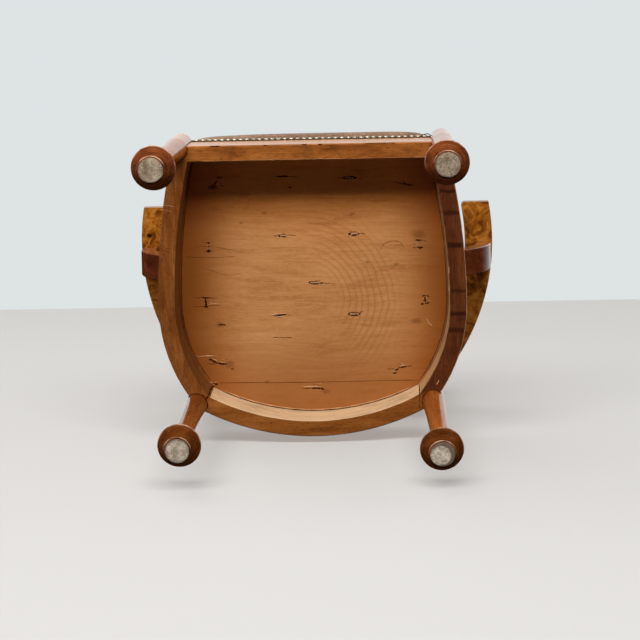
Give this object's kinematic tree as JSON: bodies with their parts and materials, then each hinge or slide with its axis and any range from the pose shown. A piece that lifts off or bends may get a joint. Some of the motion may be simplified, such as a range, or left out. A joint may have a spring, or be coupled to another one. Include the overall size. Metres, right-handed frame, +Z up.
{
  "type": "armchair",
  "caption": "Wooden armchair with a bow-sided frame on turned legs with flared feet, a buttoned leather seat, flat burl arms on curved supports and a curved burl back",
  "frame": {"origin": "on the floor, at the middle of the object's footprint", "axes": "+Z up, the front towards -Y, the sitter's left towards +X"},
  "size_m": [0.6654, 0.5635, 0.7957],
  "materials": {
    "honey_wood": "polished hardwood",
    "burl_wood": "polished burl veneer",
    "dark_wood": "dark reddish polished wood",
    "plywood": "raw plywood",
    "dowel_wood": "raw beech",
    "leather": "worn brown leather",
    "stuffing": "wadding",
    "felt": "pressed felt",
    "twine": "twine",
    "brass_nails": "aged brass"
  },
  "bodies": {
    "root": {"front_rail": "honey_wood", "rear_rail": "honey_wood", "side_rail_left": "honey_wood", "side_rail_right": "honey_wood", "leg_front_left": "honey_wood", "leg_front_right": "honey_wood", "leg_rear_left": "honey_wood", "leg_rear_right": "honey_wood", "foot_front_left": "dark_wood", "foot_front_right": "dark_wood", "foot_rear_left": "dark_wood", "foot_rear_right": "dark_wood", "felt_front_left": "felt", "felt_front_right": "felt", "felt_rear_left": "felt", "felt_rear_right": "felt", "foot_dowels": "dowel_wood", "rail_dowels": "dowel_wood", "post_dowels": "dowel_wood", "seat_panel": "plywood", "ledger_left": "plywood", "ledger_right": "plywood", "seat_core": "stuffing", "seat_cover": "leather", "seat_buttons": "leather", "button_ties": "twine", "front_nails": "brass_nails", "arm_left": "burl_wood", "arm_right": "burl_wood", "arm_support_left": "dark_wood", "arm_support_right": "dark_wood", "support_dowels": "dowel_wood", "arm_dowels": "dowel_wood", "back_post_left": "honey_wood", "back_post_right": "honey_wood", "back_panel": "burl_wood", "crest_cap": "dark_wood", "back_bead": "dark_wood", "back_dowels": "dowel_wood", "cap_dowels": "dowel_wood"}
  },
  "joints": []
}
